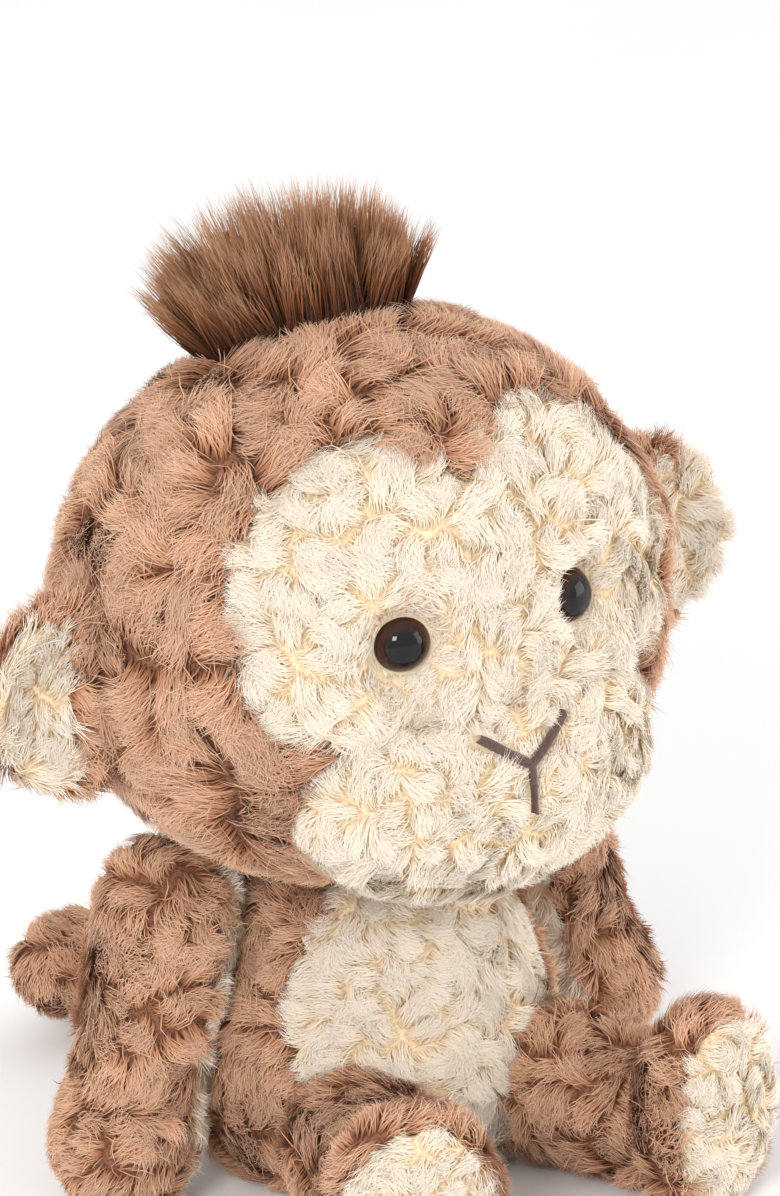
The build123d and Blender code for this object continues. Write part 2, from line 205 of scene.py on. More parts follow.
THREAD = mottled_material(
    "brown_thread", (74, 48, 42), (104, 74, 64), scale=900.0, roughness=0.6, bump=0.3, sheen=0.3)
WASHER = mottled_material("washer_plastic", (226, 226, 222), (238, 238, 235), scale=200.0, roughness=0.35)


# ------------------------------------------------------------------ mesh helpers
SMOOTH_ROUNDS = 6
OUTWARD = 0.2               # a triangle of the outer side faces away from the core by more than this


def new_piece(name, verts, faces, material):
    mesh = bpy.data.meshes.new(name)
    mesh.from_pydata(verts, [], faces)
    mesh.update()
    piece = bpy.data.objects.new(name, mesh)
    bpy.context.scene.collection.objects.link(piece)
    mesh.materials.append(material)
    mesh.shade_smooth()
    return piece


def soft_copy(node, name, material, voxel=1.5 * MM):
    """A rounded copy of a CAD solid: its edges sink in where panels are sewn together."""
    piece = bpy.data.objects.new(name, nodes[node].data.copy())
    bpy.context.scene.collection.objects.link(piece)
    piece.matrix_world = nodes[node].matrix_world.copy()
    remesh = piece.modifiers.new("remesh", "REMESH")
    remesh.mode = "VOXEL"
    remesh.voxel_size = voxel
    smooth = piece.modifiers.new("smooth", "SMOOTH")
    smooth.iterations = SMOOTH_ROUNDS
    smooth.factor = 0.5
    graph = bpy.context.evaluated_depsgraph_get()
    mesh = bpy.data.meshes.new_from_object(piece.evaluated_get(graph))
    mesh.name = name
    piece.modifiers.clear()
    piece.data = mesh
    mesh.transform(piece.matrix_world)
    piece.matrix_world = Matrix.Identity(4)
    mesh.materials.clear()
    mesh.materials.append(material)
    mesh.shade_smooth()
    return piece


def unit(v):
    return v / np.maximum(np.linalg.norm(v, axis=-1, keepdims=True), 1e-12)


def along_surface(v, n):
    return unit(v - n * (v * n).sum(-1, keepdims=True))


def surface_of(piece, core):
    """Triangles of the outer side of a skin: corners, corner normals and areas."""
    mesh = piece.data
    mesh.calc_loop_triangles()
    place = np.empty(len(mesh.vertices) * 3, np.float32)
    normal = np.empty(len(mesh.vertices) * 3, np.float32)
    mesh.vertices.foreach_get("co", place)
    mesh.vertices.foreach_get("normal", normal)
    place, normal = place.reshape(-1, 3), normal.reshape(-1, 3)
    corners = np.empty(len(mesh.loop_triangles) * 3, np.int32)
    mesh.loop_triangles.foreach_get("vertices", corners)
    corners = corners.reshape(-1, 3)
    centre = place[corners].mean(1)
    facing = (unit(centre - core(centre)) * unit(normal[corners].mean(1))).sum(1)
    corners = corners[facing > OUTWARD]
    a, b, c = place[corners].transpose(1, 0, 2)
    area = np.linalg.norm(np.cross(b - a, c - a), axis=1) / 2
    return place, normal, corners, area


def scatter(surface, count):
    """Random places on a surface, evenly by area, with their normals."""
    place, normal, corners, area = surface
    chosen = rng.choice(len(corners), count, p=area / area.sum())
    u, v = rng.random((2, count, 1))
    over = (u + v) > 1
    u, v = np.where(over, 1 - u, u), np.where(over, 1 - v, v)
    tri = corners[chosen]
    weights = (1 - u - v, u, v)
    where = sum(w * place[tri[:, i]] for i, w in enumerate(weights))
    facing = unit(sum(w * normal[tri[:, i]] for i, w in enumerate(weights)))
    return where, facing


def spaced(where, gap):
    """Indices of places that are at least gap apart, taken in turn."""
    tree = KDTree(len(where))
    for i, p in enumerate(where):
        tree.insert(p, i)
    tree.balance()
    free = np.ones(len(where), bool)
    kept = []
    for i, p in enumerate(where):
        if not free[i]:
            continue
        kept.append(i)
        for _, j, _ in tree.find_range(p, gap):
            free[j] = False
    return np.array(kept)


RINGS = np.array([0.0, 0.36, 0.72, 1.0])
LEAN_BEND, GATHER_BEND, TAPER = 1.4, 1.2, 2.2   # powers of the way up a blade
FLOOR_ROOM_MM = 0.4         # how far above the floor the lowest blades lie
SHADE_LOW, SHADE_HIGH = 0.01, 0.985
UV_WIDE = 0.003             # width of a blade in u; the rest of u is its shade
UV_EDGE = 0.02              # v starts and stops this far inside its range
SWIRL_WAVES = rng.uniform(60, 150, (6, 3)) * rng.choice((-1, 1), (6, 3))
SWIRL_PHASES = rng.uniform(0, 2 * math.pi, (6, 3))
SWIRL_HEADINGS = rng.normal(0, 1, (6, 3))


def swirl(p):
    """A direction that drifts slowly over the toy, as brushed pile does."""
    total = np.zeros((len(p), 3))
    for wave, phase, heading in zip(SWIRL_WAVES, SWIRL_PHASES, SWIRL_HEADINGS):
        total += np.sin(p @ wave + phase[0])[:, None] * heading
    return unit(total)


def blades(name, root, normal, lean, length, pull, shade, material,
           height=0.56, sag=0.3, reach=0.85, curl=None, width_mm=0.4, frizz=0.14, rings=RINGS, part=None):
    """One mesh of tapering blades. pull is how far each tip moves to gather its lock."""
    count, steps = len(root), len(rings)
    t = rings[None, :, None]
    side = np.cross(normal, lean)
    angle = (np.zeros(count) if curl is None else curl)[:, None, None] * t
    heading = lean[:, None] * np.cos(angle) + side[:, None] * np.sin(angle)
    size = length[:, None, None]
    place = (root[:, None] + normal[:, None] * size * height * (t - sag * t * t)
             + heading * size * reach * t ** LEAN_BEND + pull[:, None] * t ** GATHER_BEND)
    place = place + rng.normal(0, frizz * MM, (count, steps, 3)) * t
    if part is not None:
        place = part(place.reshape(-1, 3)).reshape(place.shape)
    floor_room = (FLOOR_ROOM_MM + shade.clip(0, 1)[:, None]) * MM
    place[..., 2] = np.maximum(place[..., 2], floor_room)
    along = np.gradient(place, axis=1)
    twist = normal[:, None] + rng.normal(0, 0.2, (count, 1, 3))
    across = unit(np.cross(along, twist))
    half_width = width_mm * MM / 2 * rng.uniform(0.75, 1.25, (count, 1, 1))
    half_width = half_width * (1 - rings ** TAPER)[None, :, None]
    left = place[:, :-1] - across[:, :-1] * half_width[:, :-1]
    rightward = place[:, :-1] + across[:, :-1] * half_width[:, :-1]
    verts = np.concatenate([np.stack([left, rightward], 2).reshape(count, -1, 3), place[:, -1:]], 1)
    each = verts.shape[1]
    quads = [(2 * k, 2 * k + 1, 2 * k + 3, 2 * k + 2) for k in range(steps - 2)]
    tip = (each - 3, each - 2, each - 1)
    corner = np.array([i for quad in quads for i in quad] + list(tip))
    corners = (np.arange(count)[:, None] * each + corner[None]).ravel()
    sizes = np.tile(np.array([4] * len(quads) + [3]), count)
    starts = np.concatenate([[0], np.cumsum(sizes)[:-1]])
    mesh = bpy.data.meshes.new(name)
    mesh.vertices.add(count * each)
    mesh.vertices.foreach_set("co", verts.astype(np.float32).ravel())
    mesh.loops.add(len(corners))
    mesh.loops.foreach_set("vertex_index", corners.astype(np.int32))
    mesh.polygons.add(len(sizes))
    mesh.polygons.foreach_set("loop_start", starts.astype(np.int32))
    mesh.update(calc_edges=True)
    mesh.shade_smooth()
    v = np.append(np.repeat(rings[:-1], 2), 1.0)[corner] * (1 - 2 * UV_EDGE) + UV_EDGE
    u = np.append(np.tile([0.0, 1.0], steps - 1), 0.5)[corner] * UV_WIDE
    uv = np.stack([np.clip(shade, SHADE_LOW, SHADE_HIGH)[:, None] + u[None], np.tile(v, (count, 1))], 2)
    layer = mesh.uv_layers.new(name="OFBake")
    layer.data.foreach_set("uv", uv.astype(np.float32).ravel())
    mesh.materials.append(material)
    piece = bpy.data.objects.new(name, mesh)
    bpy.context.scene.collection.objects.link(piece)
    return piece


DRIFT = 0.7                 # how much the slow swirl turns the locks
GATHER = (0.15, 0.6)        # share of the way to its lock's middle that a blade is drawn
SEEDS_PER_LOCK, LOCK_SPACING = 5, 0.8
LOCK_LENGTHS, BLADE_LENGTHS, STRAY_EXTRA = (0.82, 1.18), (0.75, 1.1), 0.15
LOCK_SHADES, BLADE_SHADES = 0.16, 0.13          # spreads of the shade, as the next two are of the lean
BLADE_LEANS, STRAY_LEANS = 0.16, 0.7
BLADE_CURLS = 0.25


def grow_pile(name, skin, core, flow, material, length_mm=9.0, lock_mm=6.5, density=2.5,
              align=0.4, wildness=0.3, twist=0.6, strays=0.05, keep=None, trim=None, **shape):
    """Pile on the outer side of a skin, gathered into locks. keep(places) thins it, trim(places) cuts it."""
    surface = surface_of(skin, core)
    total = surface[3].sum() / MM ** 2
    seeds, seed_normals = scatter(surface, int(total / lock_mm ** 2 * SEEDS_PER_LOCK))
    chosen = spaced(seeds, lock_mm * MM * LOCK_SPACING)
    seeds, seed_normals = seeds[chosen], seed_normals[chosen]
    count = len(seeds)
    wild = along_surface(rng.normal(0, 1, (count, 3)), seed_normals)
    flowing = along_surface(flow(seeds), seed_normals)
    drifting = along_surface(swirl(seeds), seed_normals)
    lock_lean = unit(flowing * align + drifting * DRIFT + wild * wildness)
    lock_curl = rng.normal(0, twist, count)
    lock_length = rng.uniform(*LOCK_LENGTHS, count)
    lock_shade = rng.normal(0.5, LOCK_SHADES, count)
    root, normal = scatter(surface, int(total * density))
    if keep is not None:
        stay = keep(root)
        root, normal = root[stay], normal[stay]
    tree = KDTree(count)
    for i, p in enumerate(seeds):
        tree.insert(p, i)
    tree.balance()
    lock = np.array([tree.find(p)[1] for p in root])
    number = len(root)
    stray = rng.random(number) < strays
    nudge = rng.normal(0, BLADE_LEANS, (number, 3))
    wander = stray[:, None] * rng.normal(0, STRAY_LEANS, (number, 3))
    lean = along_surface(lock_lean[lock] + nudge + wander, normal)
    gathered = rng.uniform(*GATHER, number) * ~stray
    pull = (seeds[lock] - root) * gathered[:, None]
    size = length_mm * MM * lock_length[lock] * rng.uniform(*BLADE_LENGTHS, number)
    size = size * (1 + STRAY_EXTRA * stray)
    if trim is not None:
        short = trim(root)
        size *= short
        pull *= short[:, None]
    shade = lock_shade[lock] + rng.normal(0, BLADE_SHADES, number)
    curl = lock_curl[lock] + rng.normal(0, BLADE_CURLS, number)
    return blades(name, root, normal, lean, size, pull, shade, material, curl=curl, **shape)


# ------------------------------------------------------------------ cores and flows
def to_point(at):
    return lambda p: np.broadcast_to(np.asarray(at), p.shape)


def to_line(start, end):
    start, end = np.asarray(start), np.asarray(end)
    run = end - start

    def nearest(p):
        share = ((p - start) @ run / (run @ run)).clip(0, 1)
        return start + share[:, None] * run
    return nearest


def away_from(at, bias=(0.0, 0.0, 0.0)):
    return lambda p: unit(p - np.asarray(at)) + np.asarray(bias)


def steady(direction):
    return lambda p: np.broadcast_to(np.asarray(direction, float), p.shape)


FACE_DROP = 10 * MM         # the face's pile parts from a place this far below the head's middle
FACE_MIDDLE = HEAD + np.array([0.0, -HEAD_HALF[1], -FACE_DROP])
TOPKNOT_LOW, TOPKNOT_HIGH = (np.array(v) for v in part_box("topknot"))
topknot_middle = (TOPKNOT_LOW + TOPKNOT_HIGH) / 2
topknot_half = (TOPKNOT_HIGH - TOPKNOT_LOW) / 2
EYE_TOE_OUT = math.radians(18.0)
GAZE = {s: np.array([sign * math.sin(EYE_TOE_OUT), -math.cos(EYE_TOE_OUT), 0.0]) for s, sign in SIDES}
EYE_AHEAD = 5.0 * MM        # from the washer's middle to the underside of the dome
EYE = {s: middle(f"eye_washer_{s}") + GAZE[s] * EYE_AHEAD for s, _ in SIDES}
MOUTH_LOW, MOUTH_HIGH = (np.array(v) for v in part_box("mouth_thread"))
EYE_RADIUS = float(half("eye_left")[2])
EYE_BARE = EYE_RADIUS + 0.4 * MM    # no pile nearer to an eye's axis than this
EYE_SHORT = 18.0 * MM               # shorter pile up to here
EYE_TRIM, EYE_TRIM_BEND = 0.28, 1.3  # share of the length left at the rim, and how it grows from there
MOUTH_BARE = 1.7 * MM
MOUTH_SHORT = 6.0 * MM
MOUTH_TRIM = 0.4
TOPKNOT_BARE = 0.9                  # share of the topknot's width without brown pile


def across_eye(p, s):
    """Offsets of places from an eye's axis, and how far off they are."""
    offset = p - EYE[s]
    flat = offset - (offset @ GAZE[s])[:, None] * GAZE[s]
    return flat, np.linalg.norm(flat, axis=1)


def round_eyes(p):
    """Pile parted round the eyes: what leans over an eye is pushed back to its rim."""
    for s, _ in SIDES:
        flat, away = across_eye(p, s)
        push = np.where(p[:, 1] < HEAD[1], np.maximum(EYE_BARE - away, 0), 0)
        p = p + unit(flat) * push[:, None]
    return p


def clear_of_eyes(p):
    clear = np.logical_and.reduce([across_eye(p, s)[1] > EYE_BARE for s, _ in SIDES])
    return clear | (p[:, 1] > HEAD[1])


def short_at_eyes(p):
    near = np.minimum(*[across_eye(p, s)[1] for s, _ in SIDES])
    way_out = ((near - EYE_BARE) / (EYE_SHORT - EYE_BARE)).clip(0, 1)
    return EYE_TRIM + (1 - EYE_TRIM) * way_out ** EYE_TRIM_BEND


def clear_of_topknot(p):
    offset = (p[:, :2] - topknot_middle[:2]) / (topknot_half[:2] * TOPKNOT_BARE)
    return ((offset ** 2).sum(1) > 1) | (p[:, 2] < HEAD[2])


def far_from(*places_and_gaps):
    def far(p):
        return np.logical_and.reduce([np.linalg.norm(p - at, axis=1) > gap for at, gap in places_and_gaps])
    return far


# Mouth: three bars of satin stitch that meet at a fork, seen from the front (x, z).
THREAD_RADIUS = 0.95 * MM
mouth_half = MOUTH_HIGH[0] - THREAD_RADIUS
FORK_SHARE = 0.42               # of the mouth's height, down from the top
mouth_top, mouth_foot = MOUTH_HIGH[2] - THREAD_RADIUS, MOUTH_LOW[2] + THREAD_RADIUS
fork = np.array([0.0, mouth_top + (mouth_foot - mouth_top) * FORK_SHARE])
MOUTH_BARS = [(fork, np.array(end)) for end in (
    (-mouth_half, mouth_top), (mouth_half, mouth_top), (0.0, mouth_foot))]


def off_mouth(p):
    """Offset in (x, z) of places from the nearest bar of the mouth, and how far off they are."""
    best, gap = None, None
    for start, end in MOUTH_BARS:
        run = end - start
        flat = p[:, (0, 2)]
        share = ((flat - start) @ run / (run @ run)).clip(0, 1)
        offset = flat - start - share[:, None] * run
        away = np.linalg.norm(offset, axis=1)
        if best is None:
            best, gap = offset, away
        else:
            nearer = away < gap
            best, gap = np.where(nearer[:, None], offset, best), np.where(nearer, away, gap)
    return best, gap


def round_mouth(p):
    flat, away = off_mouth(p)
    push = np.where(p[:, 1] < HEAD[1], np.maximum(MOUTH_BARE - away, 0), 0)
    step = unit(flat) * push[:, None]
    return p + np.stack([step[:, 0], np.zeros(len(p)), step[:, 1]], 1)


def short_at_mouth(p):
    away = off_mouth(p)[1]
    return MOUTH_TRIM + (1 - MOUTH_TRIM) * ((away - MOUTH_BARE) / (MOUTH_SHORT - MOUTH_BARE)).clip(0, 1)


# ------------------------------------------------------------------ skins and pile
def body_part(body, piece, *stand_ins, slot):
    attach(piece, body)
    if stand_ins:
        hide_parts(*stand_ins)


CREAM_LOOK = {"width_mm": 0.28, "density": 4.2, "twist": 1.0, "strays": 0.02, "align": 0.3, "wildness": 0.6}
BALL_GAP = 1.0 * MM         # pile stands back this far from a ball that turns in the body


def stuffed(node, body, cloth, pile, core, flow, **look):
    """The skin and the pile of one stuffed piece of the toy."""
    if pile is CREAM:
        look = CREAM_LOOK | look
    skin = soft_copy(node, f"{node}_backing", cloth)
    slot = "cream_pile" if cloth is CREAM_CLOTH else "brown_pile"
    body_part(body, skin, node, slot=slot)
    fur = grow_pile(f"{node}_pile", skin, core, flow, pile, **look)
    body_part(body, fur, slot=slot)
    return skin


head_core = to_point(HEAD)
NECK = middle("neck_wad")
NECK_RADIUS = half("neck_wad")[0]
off_neck = far_from((NECK, NECK_RADIUS + BALL_GAP))
stuffed("head_skin", "head", BROWN_CLOTH, BROWN, head_core, away_from(FACE_MIDDLE, (0, 0.2, -0.5)),
        length_mm=10.5, lock_mm=8.0, keep=lambda p: clear_of_topknot(p) & off_neck(p))
stuffed("face_panel", "head", CREAM_CLOTH, CREAM, head_core, away_from(FACE_MIDDLE),
        length_mm=7.5, lock_mm=5.5, keep=clear_of_eyes, trim=short_at_eyes, part=round_eyes)
MUZZLE_CORE_BACK = 10 * MM
muzzle_core = to_point(middle("muzzle_panel") * (0, 1, 1) + (0, MUZZLE_CORE_BACK, 0))
muzzle = stuffed(
    "muzzle_panel", "head", CREAM_CLOTH, CREAM, muzzle_core, away_from((0, MOUTH_LOW[1], MOUTH_HIGH[2])),
    length_mm=6.5, lock_mm=5.0, keep=lambda p: (off_mouth(p)[1] > MOUTH_BARE) | (p[:, 1] > HEAD[1]),
    trim=lambda p: short_at_mouth(p) * short_at_eyes(p), part=lambda p: round_mouth(round_eyes(p)))

# Neck sleeve: radius and height of each ring, the height from the neck's pivot, in millimetres.
SLEEVE_MM = ((20.5, -7.0), (19.0, -3.0), (18.6, 1.0), (19.6, 5.0), (21.5, 8.0))
SLEEVE_RING = 40


def ring_band(k, i, ring):
    """The face between rings k and k + 1, after corner i."""
    after = (i + 1) % ring
    return (k * ring + i, k * ring + after, (k + 1) * ring + after, (k + 1) * ring + i)


around_neck = [2 * math.pi * i / SLEEVE_RING for i in range(SLEEVE_RING)]
sleeve_verts = [(r * MM * math.cos(a), r * MM * math.sin(a), NECK[2] + z * MM)
                for r, z in SLEEVE_MM for a in around_neck]
sleeve_faces = [ring_band(k, i, SLEEVE_RING) for k in range(len(SLEEVE_MM) - 1) for i in range(SLEEVE_RING)]
sleeve = new_piece("neck_sleeve", sleeve_verts, sleeve_faces, BROWN_CLOTH)
thick = sleeve.modifiers.new("thick", "SOLIDIFY")
thick.thickness = 0.8 * MM
thick.offset = -1.0
body_part("neck", sleeve, slot="brown_pile")
fur = grow_pile("neck_sleeve_pile", sleeve, to_line((0, 0, 0), NECK * 2), steady((0, 0, -1)), BROWN,
                length_mm=7.0, lock_mm=5.0)
body_part("neck", fur, slot="brown_pile")

LEG_BALL = 18.5 * MM
TAIL_BARE = 14.5 * MM       # no body pile this near the tail's pivot
BODY_FOOT, BODY_TOP, BODY_REACH = 20 * MM, 62 * MM, 44 * MM
GROUND_BARE = 1.5 * MM      # no pile on what the toy sits on
torso_core = to_line((0, 0, BODY_FOOT), (0, 0, BODY_TOP))
off_joints = far_from((HIP["left"], LEG_BALL + BALL_GAP), (HIP["right"], LEG_BALL + BALL_GAP),
                      (TAIL, TAIL_BARE), (NECK, NECK_RADIUS + BALL_GAP))


def off_ground(p):
    return p[:, 2] > GROUND_BARE


def outside_body(p):
    return (np.linalg.norm(p[:, :2], axis=1) > BODY_REACH) | (p[:, 2] > BODY_TOP)


stuffed("body_skin", "torso", BROWN_CLOTH, BROWN, torso_core, steady((0, 0, -1)), length_mm=8.0, lock_mm=6.0,
        keep=lambda p: off_joints(p) & off_ground(p))
stuffed("belly_panel", "torso", CREAM_CLOTH, CREAM, torso_core, steady((0, 0, -1)),
        length_mm=7.0, lock_mm=5.5, keep=off_joints)

FOOT_INSET, FOOT_BACK = 0.92, 12 * MM   # where the leg's middle line ends, from the sole's middle
for s, _ in SIDES:
    hand = middle(f"arm_fill_{s}") * 2 - SHOULDER[s]
    arm_core = to_line(SHOULDER[s], hand)
    down_arm = hand - SHOULDER[s]
    stuffed(f"arm_skin_{s}", f"arm_{s}", BROWN_CLOTH, BROWN, arm_core, steady(down_arm),
            length_mm=7.5, lock_mm=5.5)
    stuffed(f"arm_lining_{s}", f"arm_{s}", CREAM_CLOTH, CREAM, arm_core, steady(down_arm),
            length_mm=6.0, lock_mm=5.0)
    foot = middle(f"sole_{s}")
    leg_core = to_line(HIP[s], np.array([foot[0] * FOOT_INSET, foot[1] + FOOT_BACK, foot[2]]))
    down_leg = foot - HIP[s]
    stuffed(f"leg_skin_{s}", f"leg_{s}", BROWN_CLOTH, BROWN, leg_core, steady(down_leg),
            length_mm=7.5, lock_mm=5.5, keep=lambda p: outside_body(p) & off_ground(p))
    stuffed(f"sole_{s}", f"leg_{s}", CREAM_CLOTH, CREAM, leg_core, away_from(foot),
            length_mm=5.5, lock_mm=4.5, keep=off_ground)

TAIL_BEND = ((0.06, 0.31), (0.39, 0.76), (1.0, 1.0))    # shares of the way to the tip, sideways and back
tail_low, tail_high = (np.array(v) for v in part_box("tail_skin"))
tail_radius = half("tail_wad")[0] * 2
tail_tip = np.array([tail_low[0] + tail_radius, tail_high[1] - tail_radius, tail_high[2] - tail_radius])
tail_way = [TAIL] + [TAIL + (tail_tip - TAIL) * (x, y, y) for x, y in TAIL_BEND]


def tail_core(p):
    """The nearest place on the tail's middle line."""
    spots = np.stack([to_line(a, b)(p) for a, b in zip(tail_way, tail_way[1:])])
    nearest = np.linalg.norm(spots - p, axis=2).argmin(0)
    return spots[nearest, np.arange(len(p))]


stuffed("tail_skin", "tail", BROWN_CLOTH, BROWN, tail_core, away_from(TAIL),
        length_mm=7.0, lock_mm=5.5, keep=outside_body)

# ------------------------------------------------------------------ ears
EAR_CUP = 5.0 * MM          # how far the rim curls forward of the middle
EAR_ROOT = 0.3              # share of the reach, from the root, that is brown in front too
EAR_CORNER = 0.86           # and above or below this share of the half height near the root
EAR_ALL_LINED = 0.6         # share of the reach past which the front is lined from edge to edge
EAR_MIDDLE, EAR_SPAN = 0.42, 0.58   # shares of the reach: where the cup is centred, and its half width
CUP_MIDDLE, CUP_LIMIT = 0.55, 1.1
EAR_CORE = 30 * MM          # how far before or behind the ear the cores of its two sides lie
for s, sign in SIDES:
    ear_low, ear_high = (np.array(v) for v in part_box(f"ear_back_{s}"))
    root_x = ear_low[0] if sign > 0 else ear_high[0]
    reach, tall = ear_high[0] - ear_low[0], (ear_high[2] - ear_low[2]) / 2
    ear_mid = np.array([root_x + sign * reach * EAR_MIDDLE, ear_low[1], (ear_low[2] + ear_high[2]) / 2])

    def from_middle(p, ear_mid=ear_mid, reach=reach, tall=tall):
        return np.hypot((p[:, 0] - ear_mid[0]) / (reach * EAR_SPAN), (p[:, 2] - ear_mid[2]) / tall)

    def lined(p, root_x=root_x, sign=sign, reach=reach, tall=tall, mid=ear_mid):
        out = sign * (p[:, 0] - root_x) / reach
        return (out > EAR_ROOT) & ((abs(p[:, 2] - mid[2]) < tall * EAR_CORNER) | (out > EAR_ALL_LINED))

    def cup(p, root_x=root_x, sign=sign, reach=reach, share=from_middle):
        out = (sign * (p[:, 0] - root_x) / reach).clip(0, 1)
        forward = EAR_CUP * (CUP_MIDDLE - share(p).clip(0, CUP_LIMIT) ** 2) * out ** 0.5
        return p + np.stack([out * 0, forward, out * 0], 1)

    skins = []
    for node, cloth in ((f"ear_back_{s}", BROWN_CLOTH), (f"ear_lining_{s}", CREAM_CLOTH)):
        skin = soft_copy(node, f"{node}_backing", cloth, voxel=1.2 * MM)
        place = np.empty(len(skin.data.vertices) * 3)
        skin.data.vertices.foreach_get("co", place)
        skin.data.vertices.foreach_set("co", cup(place.reshape(-1, 3)).ravel())
        skin.data.update()
        body_part(f"ear_{s}", skin, node, slot="cream_pile" if cloth is CREAM_CLOTH else "brown_pile")
        skins.append(skin)
    ear_back, lining = skins
    front, rear = ear_mid - (0, EAR_CORE, 0), ear_mid + (0, EAR_CORE, 0)
    fur = grow_pile(f"ear_rim_{s}", lining, to_point(rear), away_from(ear_mid, (0, -0.2, 0)), BROWN,
                    length_mm=7.5, lock_mm=5.0, keep=lambda p: ~lined(p), align=0.8)
    body_part(f"ear_{s}", fur, slot="brown_pile")
    fur = grow_pile(f"ear_back_{s}_pile", ear_back, to_point(front), away_from(ear_mid, (0, 0.2, 0)), BROWN,
                    length_mm=8.0, lock_mm=5.0, align=0.8)
    body_part(f"ear_{s}", fur, slot="brown_pile")
    fur = grow_pile(f"ear_lining_{s}_pile", lining, to_point(rear), away_from(ear_mid), CREAM,
                    length_mm=6.5, lock_mm=4.5, keep=lined, **(CREAM_LOOK | {"align": 0.9, "twist": 0.4}))
    body_part(f"ear_{s}", fur, slot="cream_pile")

# ------------------------------------------------------------------ topknot
TOPKNOT_HAIRS = 9000
TUFTS = 70
HAIR_LENGTH = 34 * MM
HAIR_FILL = 0.86            # share of the topknot's width that its roots fill
TUFT_PULL = 0.75            # share of the way to its tuft's middle that a hair is drawn
angle = rng.uniform(0, 2 * math.pi, TOPKNOT_HAIRS)
spread = np.sqrt(rng.random(TOPKNOT_HAIRS))
hair_x = topknot_half[0] * HAIR_FILL * spread * np.cos(angle)
hair_y = topknot_half[1] * HAIR_FILL * spread * np.sin(angle)
place = np.stack([hair_x, topknot_middle[1] + hair_y, np.zeros(TOPKNOT_HAIRS)], 1)
on_head = 1 - (place[:, 0] / HEAD_HALF[0]) ** 2 - ((place[:, 1] - HEAD[1]) / HEAD_HALF[1]) ** 2
place[:, 2] = HEAD[2] + HEAD_HALF[2] * np.sqrt(on_head)
facing = unit((place - HEAD) / HEAD_HALF ** 2)
tuft_at = place[rng.choice(TOPKNOT_HAIRS, TUFTS, replace=False)]
tuft = ((place[:, None] - tuft_at[None]) ** 2).sum(2).argmin(1)
tuft_turn = rng.normal(0, 1, (TUFTS, 3))
fan = np.stack([hair_x / topknot_half[0], hair_y / topknot_half[1], np.zeros(TOPKNOT_HAIRS)], 1)
swept = np.array([-0.1, 0.08, 0.5])     # the topknot leans a little to its right and back
growth = unit(facing * 0.8 + swept + fan * 0.4 + tuft_turn[tuft] * 0.1
              + rng.normal(0, 0.06, (TOPKNOT_HAIRS, 3)))
droop = along_surface(fan + np.array([0, 0.1, 0.0]) + rng.normal(0, 0.3, (TOPKNOT_HAIRS, 3)), growth)
hair_length = HAIR_LENGTH * (1 - 0.3 * spread ** 2) * rng.uniform(0.74, 1.06, TOPKNOT_HAIRS)
tuft_length = (1 + 0.12 * tuft_turn[tuft][:, 1]).clip(0.8, 1.15)
hair_shade = 0.5 + tuft_turn[tuft][:, 0] * 0.14 + rng.normal(0, 0.14, TOPKNOT_HAIRS)
hair_pull = (tuft_at[tuft] - place) * TUFT_PULL
hair = blades("topknot_hair", place, growth, droop, hair_length * tuft_length, hair_pull, hair_shade, DARK,
              height=1.05, sag=0.05, reach=0.1, width_mm=0.42, frizz=0.45,
              rings=np.array([0.0, 0.3, 0.6, 0.85, 1.0]))
body_part("head", hair, "topknot", slot="dark_pile")

# ------------------------------------------------------------------ eyes
DOME = 5.6 * MM             # top of the dome above the flange's underside
FLANGE = 0.6 * MM           # how far the underside sinks towards the stem
EYE_PROFILE = (             # share of the eye's radius, height
    (0.0, DOME), (0.22, DOME * 0.985), (0.42, DOME * 0.93), (0.6, DOME * 0.82), (0.75, DOME * 0.66),
    (0.87, DOME * 0.47), (0.95, DOME * 0.3), (1.0, DOME * 0.16), (0.99, 0.0), (0.6, -FLANGE))
AROUND = 48


def lathe(name, profile, radius, material):
    ring = [(math.cos(2 * math.pi * i / AROUND), math.sin(2 * math.pi * i / AROUND)) for i in range(AROUND)]
    verts = [(0.0, 0.0, profile[0][1])]
    verts += [(r * radius * x, r * radius * y, z) for r, z in profile[1:] for x, y in ring]
    faces = [(0, 1 + i, 1 + (i + 1) % AROUND) for i in range(AROUND)]
    for k in range(len(profile) - 2):
        base, below = 1 + k * AROUND, 1 + (k + 1) * AROUND
        faces += [(base + i, below + i, below + (i + 1) % AROUND, base + (i + 1) % AROUND)
                  for i in range(AROUND)]
    faces.append(tuple(1 + (len(profile) - 2) * AROUND + i for i in reversed(range(AROUND))))
    return new_piece(name, verts, faces, material)


EYE_GLASS, eye_tree, eye_shader = new_material("eye_plastic", 0.05, specular=0.35)
eye_place = eye_tree.nodes.new("ShaderNodeTexCoord")
flatten = eye_tree.nodes.new("ShaderNodeVectorMath")
flatten.operation = "MULTIPLY"
flatten.inputs[1].default_value = (1.0, 1.0, 0.0)
eye_away = eye_tree.nodes.new("ShaderNodeVectorMath")
eye_away.operation = "LENGTH"
share = eye_tree.nodes.new("ShaderNodeMapRange")
share.inputs["From Max"].default_value = EYE_RADIUS
eye_ramp = ramp_node(eye_tree, ((0.0, srgb(6, 5, 6)), (0.6, srgb(8, 6, 7)), (0.74, srgb(44, 24, 18)),
                                (0.88, srgb(66, 38, 28)), (1.0, srgb(30, 16, 12))))
eye_tree.links.new(eye_place.outputs["Object"], flatten.inputs[0])
eye_tree.links.new(flatten.outputs["Vector"], eye_away.inputs[0])
eye_tree.links.new(eye_away.outputs["Value"], share.inputs["Value"])
eye_tree.links.new(share.outputs["Result"], eye_ramp.inputs["Fac"])
eye_tree.links.new(eye_ramp.outputs["Color"], eye_shader.inputs["Base Color"])
